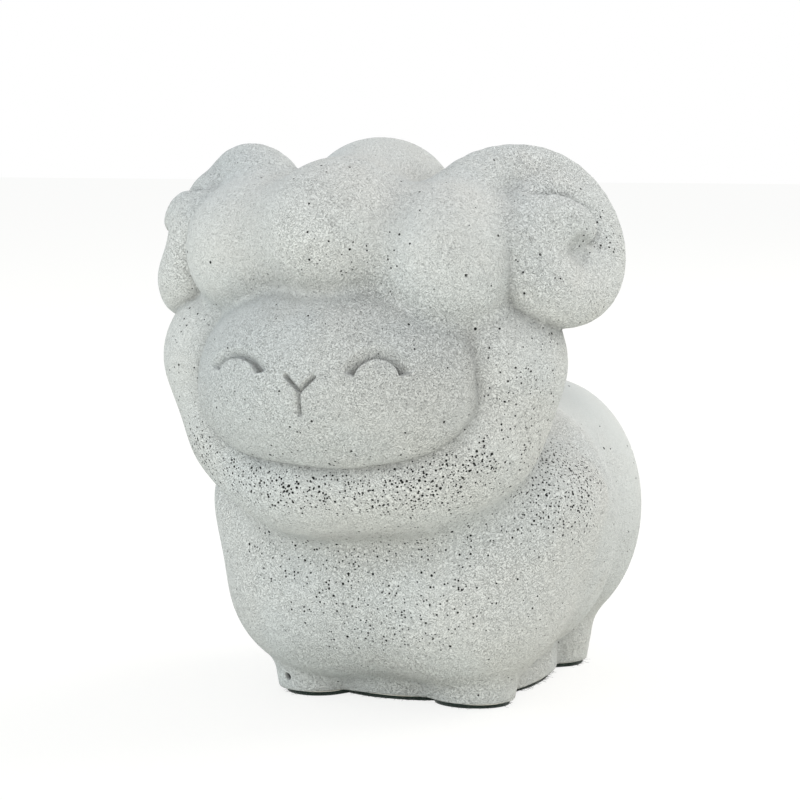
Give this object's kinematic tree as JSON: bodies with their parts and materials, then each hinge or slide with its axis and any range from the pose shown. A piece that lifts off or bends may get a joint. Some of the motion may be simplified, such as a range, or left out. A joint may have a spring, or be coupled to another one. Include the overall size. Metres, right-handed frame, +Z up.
{
  "type": "sheep figurine",
  "caption": "Standing ram in cast concrete with rounded wool lumps, curled horns and a smiling face, flat underneath on a glued felt pad.",
  "frame": {"origin": "on the resting face, in the middle between the four feet", "axes": "+Z up; the animal faces -Y, so +Y runs from its face to its tail; +X is its left side"},
  "size_m": [0.085, 0.1069, 0.1005],
  "materials": {
    "cast_concrete": "matt cast concrete, finely grained, with small air holes",
    "adhesive_film": "thin translucent pressure-sensitive film",
    "felt": "dark green wool felt with loose fibres along its cut edge"
  },
  "bodies": {
    "root": {"concrete_casting": "cast_concrete", "pad_adhesive": "adhesive_film", "felt_pad": "felt"}
  },
  "joints": []
}
